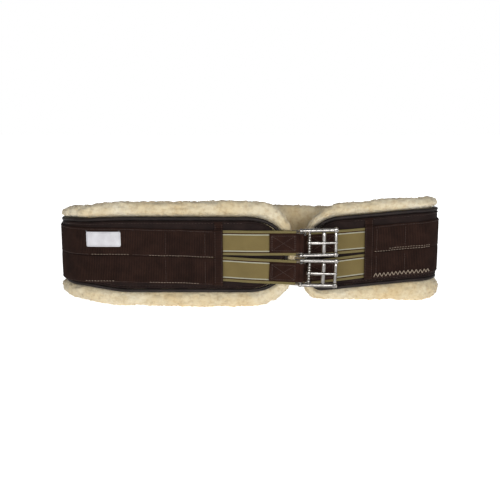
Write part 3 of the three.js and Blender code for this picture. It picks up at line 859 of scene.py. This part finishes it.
def seam(shells, s0, s1, dz, t, pitch=3.4, radius=0.24, zig=0.0, gap=0.25):
    n = max(2, int(abs(s1 - s0) / pitch))
    s = np.linspace(s0, s1, n + 1)
    z = split(s) + dz + (zig * (np.arange(n + 1) % 2 * 2 - 1) if zig else 0.12 * rng.normal(size=n + 1))
    x, y, nx, ny = path(s)
    stitch_points(at(s, z, t + lift(s)), np.stack([nx, ny, 0 * nx], -1), shells, radius, 0.05 if zig else gap)


pale, brown = Shells(), Shells()
TOP = T_WEB + 0.12
E0, E1 = MOUTH_SL + HEM + 2, MOUTH_SR - HEM - 2
seam(brown, E0, E1, WEB_W - 1.9, TOP)
seam(brown, E0, 205, 1.7, TOP)
seam(brown, E0, E1, -WEB_W + 1.5, TOP, radius=0.22)
seam(brown, 262, S4 - 36, 1.7, TOP)
seam(pale, X_TIP_L + 43, X_TIP_L + 132, 1.3, TOP, 3.6, 0.30, gap=0.4)
seam(pale, X_TIP_L + 158, X_TIP_L + 208, 1.7, TOP, 3.6, 0.30, gap=0.4)
seam(pale, X_TIP_L + 66, X_TIP_L + 132, -WEB_W + 1.9, TOP, 3.6, 0.32, gap=0.4)
seam(pale, X_TIP_L + 178, X_TIP_L + 217, -WEB_W + 2.6, TOP, 3.8, 0.30, gap=0.4)
seam(pale, S4 - 22, MOUTH_SR - HEM - 2, 1.2, TOP, 3.6, 0.34, gap=0.4)
seam(pale, S4 - 22, S4 + 36, 3.9, TOP, 3.6, 0.30, gap=0.4)
seam(pale, S4 - 22, MOUTH_SR - HEM - 2, -WEB_W + 5.0, TOP, 2.7, 0.48, zig=2.8)


def across(shells, s, z0, z1):
    """A row of stitches across a band."""
    z = np.arange(z0, z1, 3.2)
    s = np.full(len(z), float(s))
    x, y, nx, ny = path(s)
    stitch_points(at(s, split(s) + z, TOP + lift(s)), np.stack([nx, ny, 0 * nx], -1), shells, 0.22)


for s in (X_TIP_L + 58, X_TIP_L + 110, MOUTH_SR - HEM - 5, MOUTH_SR - HEM - 44):
    across(brown, s, 3, WEB_W - 2)
    across(brown, s, -WEB_W + 3, -3)


def hem_rows(a, b, shells):
    z = np.arange(-36.5, 45.5, 3.0)
    over = np.minimum(smooth(-38.2, -35.0, z), smooth(40.5, 35.0, z))
    t = 0.35 + (2.1 + T_WEB + 0.1 - 0.35) * over + 1.35
    for s in (a + 1.3, b - 1.3):
        s = np.full(len(z), s)
        x, y, nx, ny = path(s)
        stitch_points(at(s, split(s) + z, t), np.stack([nx, ny, 0 * nx], -1), shells, 0.24)


hem_rows(MOUTH_SL, MOUTH_SL + HEM, brown)
hem_rows(MOUTH_SR - HEM, MOUTH_SR, brown)


def cover_stitches(shells):
    """The row that holds the binding, in the groove beside the cover's rolled edge."""
    s = np.arange(60, S_END - 60, 4.2)
    a, b = edges(PANEL_H, s, np.minimum(s, S_END - s) - 5.1, NOSE_PANEL, 5.1)
    x, y, nx, ny = path(s)
    out = np.stack([nx, ny, 0 * nx], -1)
    for z in (a - 5.1 - 3.35, b + 5.1 + 3.35):
        stitch_points(at(s, z, -0.45 + 0 * s), out, shells, 0.2)


cover_stitches(brown)
dress(pale.object("pale_seams"), "pale", "root")
dress(brown.object("brown_seams"), "brown", "root")

edge = Shells()
ls = np.linspace(221.2, S1 + 10.4, 32)
for dz in (13.3, 30.1):
    x, y, nx, ny = path(ls)
    stitch_points(at(ls, split(ls) + dz, T_WEB + 0.98 + 0.12 * np.sin(np.pi * (ls - ls[0]) / (ls[-1] - ls[0]))), np.stack([nx, ny, 0 * nx], -1), edge, 0.2)
zs = np.linspace(13.3, 30.1, 13)
for si in (221.2, S1 + 10.4):
    s = np.full(len(zs), si)
    x, y, nx, ny = path(s)
    stitch_points(at(s, split(s) + zs, T_WEB + 0.98), np.stack([nx, ny, 0 * nx], -1), edge, 0.2)
for si, lean_s in ((221.8, -1), (S1 + 11.4, 1)):
    for i in range(5):
        c = at(np.array(si + 0.5 * rng.normal()), split(np.array(si)) + 31.2, np.array(T_WEB + 0.9))
        x, y, nx, ny = path(np.array(si))
        along = np.array([-1.0, 0, 0]) * lean_s
        up = np.array([0, 0, 1.0])
        out = np.array([float(nx), float(ny), 0])
        d = up * rng.uniform(0.8, 2.2) + along * rng.uniform(-0.4, 1.1) + out * rng.uniform(0.0, 0.5)
        edge.tube(np.array([c, c + d * 0.5 + out * 0.15, c + d]), [0.16, 0.14, 0.08], 5, up=out)
dress(edge.object("label_border"), "label_edge", "root")


# ---------------------------------------------------------------- straps and buckles
def strap_out(x):
    low = FIT + ELASTIC_T / 2
    return -(low + (STRAP_OUT - low) * smooth(0, 42, x))


def make_elastic(name, m, hidden, heel):
    xs = np.arange(-hidden, heel - 6.5, 0.4)
    prof = rounded_profile(-ELASTIC_W / 2, ELASTIC_W / 2, -0.9, 0.9, 0.6, 14, 2)
    rows = []
    y = strap_out(xs)
    cross = 0.05 * np.sin(2 * math.pi * xs / 1.2)
    for z, t in prof:
        # Two raised cords run beside the coloured lines.
        cord = 0.12 * math.exp(-((abs(z) - 10.8) / 0.7) ** 2) + 0.10 * math.exp(-((abs(z) - 15.6) / 0.7) ** 2)
        yy = y - t - np.sign(t) * (cross + cord)
        rows.append(np.stack([xs, yy, 0 * xs + z + 0.10 * np.sin(xs / 9.0) * (abs(z) > 15)], -1))
    p = apply(m, np.stack(rows, 1))
    sv = np.stack([np.tile(xs[:, None], (1, len(prof))), np.tile(prof[None, :, 0], (len(xs), 1))], -1)
    return rings_object(f"elastic_strap_{name}", p, sv)


def chape_line(heel):
    """The middle of the webbing's thickness, out along the front, round the heel bar and back."""
    x0 = heel - CHAPE_LEN
    off = ELASTIC_T / 2 + FIT + CHAPE_T / 2
    r = HEEL_ROD_R + FIT + CHAPE_T / 2
    a0 = math.pi - math.asin(off / r)
    arc = [(heel + r * math.cos(a), -STRAP_OUT + r * math.sin(a)) for a in np.linspace(-a0, a0, 25)]
    n = 60
    first = [(x0 + (arc[0][0] - x0) * u, -STRAP_OUT - off) for u in np.linspace(0, 1, n)[:-1]]
    last = [(x0 + (arc[-1][0] - x0) * u, -STRAP_OUT + off) for u in np.linspace(1, 0, n)[1:]]
    return np.array(first + arc + last)


def make_chape(name, m, heel):
    line = chape_line(heel)
    t = np.gradient(line, axis=0)
    t /= np.linalg.norm(t, axis=1, keepdims=True)
    nrm = np.stack([t[:, 1], -t[:, 0]], -1)
    arc = np.concatenate([[0], np.cumsum(np.linalg.norm(np.diff(line, axis=0), axis=1))])
    dense = np.arange(0, arc[-1], 0.42)
    line = np.stack([np.interp(dense, arc, line[:, i]) for i in (0, 1)], -1)
    nrm = np.stack([np.interp(dense, arc, nrm[:, i]) for i in (0, 1)], -1)
    nrm /= np.linalg.norm(nrm, axis=1, keepdims=True)
    h = CHAPE_T / 2
    prof = rounded_profile(-CHAPE_W / 2, CHAPE_W / 2, -h, h - 0.12, 0.55, 12, 2)
    rib = 0.5 + 0.5 * np.sin(2 * math.pi * dense / 1.7)
    rows = []
    for z, tt in prof:
        e = float(smooth(0.2, 1.5, CHAPE_W / 2 - abs(z)))
        off = tt + (0.2 * rib * e if tt > 0 else 0)
        rows.append(np.stack([line[:, 0] + nrm[:, 0] * off, line[:, 1] + nrm[:, 1] * off, 0 * dense + z], -1))
    p = apply(m, np.stack(rows, 1))
    sv = np.stack([np.tile(dense[:, None], (1, len(prof))), np.tile(prof[None, :, 0], (len(dense), 1))], -1)
    return rings_object(f"chape_loop_{name}", p, sv)


def chape_stitches(name, m, heel):
    sh = Shells()
    x0, x1, w = heel - CHAPE_LEN + 2.4, heel - 7.4, 9.8
    y = -STRAP_OUT - ELASTIC_T / 2 - FIT - CHAPE_T - 0.05
    for (xa, za), (xb, zb) in (((x0, -w), (x1, -w)), ((x1, -w), (x1, w)), ((x1, w), (x0, w)), ((x0, w), (x0, -w)),
                               ((x0 + 0.6, -w), (x1 - 0.6, w)), ((x0 + 0.6, w), (x1 - 0.6, -w)), ((x0 + 1.6, -w), (x0 + 1.6, w)), ((x1 - 1.4, -w), (x1 - 1.4, w))):
        n = max(2, int(math.hypot(xb - xa, zb - za) / 2.5))
        u = np.linspace(0, 1, n + 1)
        for yy, out in ((y, (0, -1, 0)), (-2 * STRAP_OUT - y, (0, 1, 0))):
            pts = np.stack([xa + (xb - xa) * u, 0 * u + yy, za + (zb - za) * u], -1)
            stitch_points(pts, np.tile(out, (n + 1, 1)), sh, 0.25, matrix=m)
    return sh.object(f"box_stitching_{name}")


def make_frame(name, m):
    sh = Shells()
    for side in (-1, 1):
        z = side * ROD_Z
        mm = m @ Matrix.Translation((0, 0, z))
        ball = [(0, -2.95), (1.3, -2.8), (2.2, -2.3), (2.68, -1.2), (2.76, 0), (2.6, 1.3), (2.2, 2.2), (2.12, 2.7), (2.3, 3.3), (2.58, 4.0), (2.6, 5.2)]
        prof = ball + [(2.6, x) for x in np.linspace(8, END_A - 5, 8)] + [(2.6, END_A - 3.0), (2.3, END_A - 1.2), (0, END_A - 0.7)]
        sh.lathe(prof, "x", 30, matrix=mm)
        # Eye at the free corner, a ring round the end bar.
        h = 2.55
        eye = [(1.75, -h + 0.3), (2.1, -h), (3.0, -h), (3.32, -h + 0.35), (3.42, -h + 1.0), (3.42, h - 1.0), (3.32, h - 0.35), (3.0, h), (2.1, h), (1.75, h - 0.3)]
        sh.lathe(eye, "z", 32, closed=True, matrix=mm @ Matrix.Translation((END_A, 0, 0)))
        # A ringed rivet head on the eye's outward face.
        head = [(0, -1.2), (2.45, -1.2), (2.6, 0.1), (2.4, 0.45), (2.0, 0.45), (1.75, 0.0), (1.35, 0.0), (1.2, 0.5), (0.7, 0.85), (0, 0.95)]
        sh.lathe(head, "z", 24, matrix=mm @ Matrix.Translation((END_A, -2.75, 0)) @ Matrix.Rotation(math.pi / 2, 4, "X"))
    heel = [(0, -ROD_Z), (HEEL_ROD_R, -ROD_Z + 0.1), (HEEL_ROD_R, -6), (HEEL_ROD_R, 6), (HEEL_ROD_R, ROD_Z - 0.1), (0, ROD_Z)]
    sh.lathe(heel, "z", 24, matrix=m)
    core = [(0, -ROD_Z), (1.5, -ROD_Z + 0.1), (1.5, ROD_Z - 0.1), (0, ROD_Z)]
    sh.lathe(core, "z", 18, matrix=m @ Matrix.Translation((ROLLER_A, 0, 0)))
    # Swaged collars where the tongue pin and the roller's bar enter the side rods.
    for x, r in ((PIN_A, 1.9), (ROLLER_A, 2.0)):
        for side in (-1, 1):
            z = side * 13.75
            c = [(0, -0.35), (r * 0.8, -0.35), (r, -0.1), (r, 0.35), (0, 0.35)]
            c = [(a, b * -side) for a, b in c]
            sh.lathe(c, "z", 20, matrix=m @ Matrix.Translation((x, 0, z)))
    return sh.object(f"frame_{name}")


def lathe_piece(name, profile, x, m, segs=26, closed=False):
    sh = Shells()
    sh.lathe(profile, "z", segs, closed, m @ Matrix.Translation((x, 0, 0)))
    return sh.object(name)


def mirrored(h):
    return h + [(r, -z) for r, z in reversed(h)]


def end_bar_profile():
    return mirrored([(0, 19.85), (0.9, 19.8), (1.7, 19.6), (2.2, 19.4), (2.35, 19.25), (2.3, 19.1), (1.6, 19.05), (1.6, 13.6), (1.75, 13.45), (2.05, 13.35),
                     (2.15, 13.1), (2.15, 9), (2.1, 4), (2.05, 0.01)])


def pin_profile():
    h = [(0, 13.35), (1.2, 13.3), (1.45, 13.1)]
    for z in (11.1, 7.4, 3.7):
        for a in np.linspace(80, -80, 9):
            h.append((1.25 + 0.92 * math.cos(math.radians(a)), z + 1.62 * math.sin(math.radians(a))))
    h += [(1.45, 1.95), (1.45, 0.01)]
    return mirrored(h)


def roller_profile():
    h = 13.3
    out = [(1.85, -h + 0.2), (2.1, -h), (2.5, -h), (2.74, -h + 0.25), (2.82, -h + 0.8)]
    out += [(2.82, z) for z in (-9, -4.5, 0, 4.5, 9)]
    out += [(2.82, h - 0.8), (2.74, h - 0.25), (2.5, h), (2.1, h), (1.85, h - 0.2)]
    return out


def make_tongue(name, m):
    sh = Shells()
    eye = [(1.75, -1.55), (2.0, -1.85), (2.9, -1.9), (3.35, -1.6), (3.5, -1.0), (3.5, 1.0), (3.35, 1.6), (2.9, 1.9), (2.0, 1.85), (1.75, 1.55)]
    sh.lathe(eye, "z", 30, closed=True, matrix=m @ Matrix.Translation((PIN_A, 0, 0)))
    key = np.array([(PIN_A + 1.5, -2.35, 1.7, 1.25), (PIN_A + 4, -3.15, 2.05, 1.3), (PIN_A + 7, -3.75, 2.15, 1.28), (PIN_A + 12, -4.3, 1.95, 1.22), (PIN_A + 16, -4.5, 1.7, 1.2),
                    (ROLLER_A, -4.55, 1.55, 1.2), (ROLLER_A + 5, -4.42, 1.5, 1.18), (ROLLER_A + 10, -4.15, 1.45, 1.12), (END_A - 1.5, -3.9, 1.38, 1.08), (END_A + 1.0, -3.72, 1.2, 0.95), (END_A + 1.7, -3.66, 0.7, 0.6)])
    u = np.linspace(0, len(key) - 1, 60)
    k = np.stack([np.interp(u, np.arange(len(key)), key[:, i]) for i in range(4)], -1)
    for _ in range(3):
        k[1:-1] = (k[:-2] + 2 * k[1:-1] + k[2:]) / 4
    a = np.linspace(0, 2 * math.pi, 20, endpoint=False)
    ca, sa = np.sign(np.cos(a)) * np.abs(np.cos(a)) ** 0.75, np.sign(np.sin(a)) * np.abs(np.sin(a)) ** 0.75
    rings = np.stack([k[:, 0][:, None] + 0 * a, k[:, 1][:, None] + k[:, 3][:, None] * sa, k[:, 2][:, None] * ca], -1)
    sh.rings(apply(m, rings))
    return sh.object(f"prong_{name}")


D = math.radians
STRAPS = {
    "left_upper": ((MOUTH_L, Y_LEFT, 88.9), D(0), HEEL_L, HIDDEN_L, D(8)),
    "left_lower": ((MOUTH_L, Y_LEFT, 53.9), D(2.6), HEEL_L, HIDDEN_L, D(8)),
    "right_upper": ((MOUTH_R, Y_RIGHT, 86.9), math.pi - D(4), HEEL_R, HIDDEN_R, D(38)),
    "right_lower": ((MOUTH_R, Y_RIGHT, 50.9), math.pi - D(6.4), HEEL_R, HIDDEN_R, D(38)),
}
for n, (origin, turn, heel, hidden, lean) in STRAPS.items():
    M = Matrix.Translation(SHIFT) @ Matrix.Translation(origin) @ Matrix.Rotation(turn, 4, "Y")
    B = M @ Matrix.Translation((heel, -STRAP_OUT, 0)) @ Matrix.Rotation(lean, 4, "Z")
    strap, buckle, tongue, roller = f"{n}_strap", f"{n}_buckle", f"{n}_tongue", f"{n}_roller"
    dress(make_elastic(n, M, hidden, heel), "elastic", strap, [f"elastic_{n}"])
    dress(make_chape(n, M, heel), "chape", strap, [f"chape_{n}"])
    dress(chape_stitches(n, M, heel), "brown", strap)
    dress(make_frame(n, B), "steel", buckle, [f"buckle_frame_{n}"])
    dress(lathe_piece(f"riveted_end_bar_{n}", end_bar_profile(), END_A, B), "steel", buckle, [f"end_bar_{n}"])
    dress(lathe_piece(f"beaded_pin_{n}", pin_profile(), PIN_A, B), "steel", buckle, [f"tongue_pin_{n}"])
    dress(lathe_piece(f"roller_sleeve_{n}", roller_profile(), ROLLER_A, B, closed=True), "steel", roller, [f"roller_{n}"])
    dress(make_tongue(n, B), "steel", tongue, [f"tongue_{n}"])
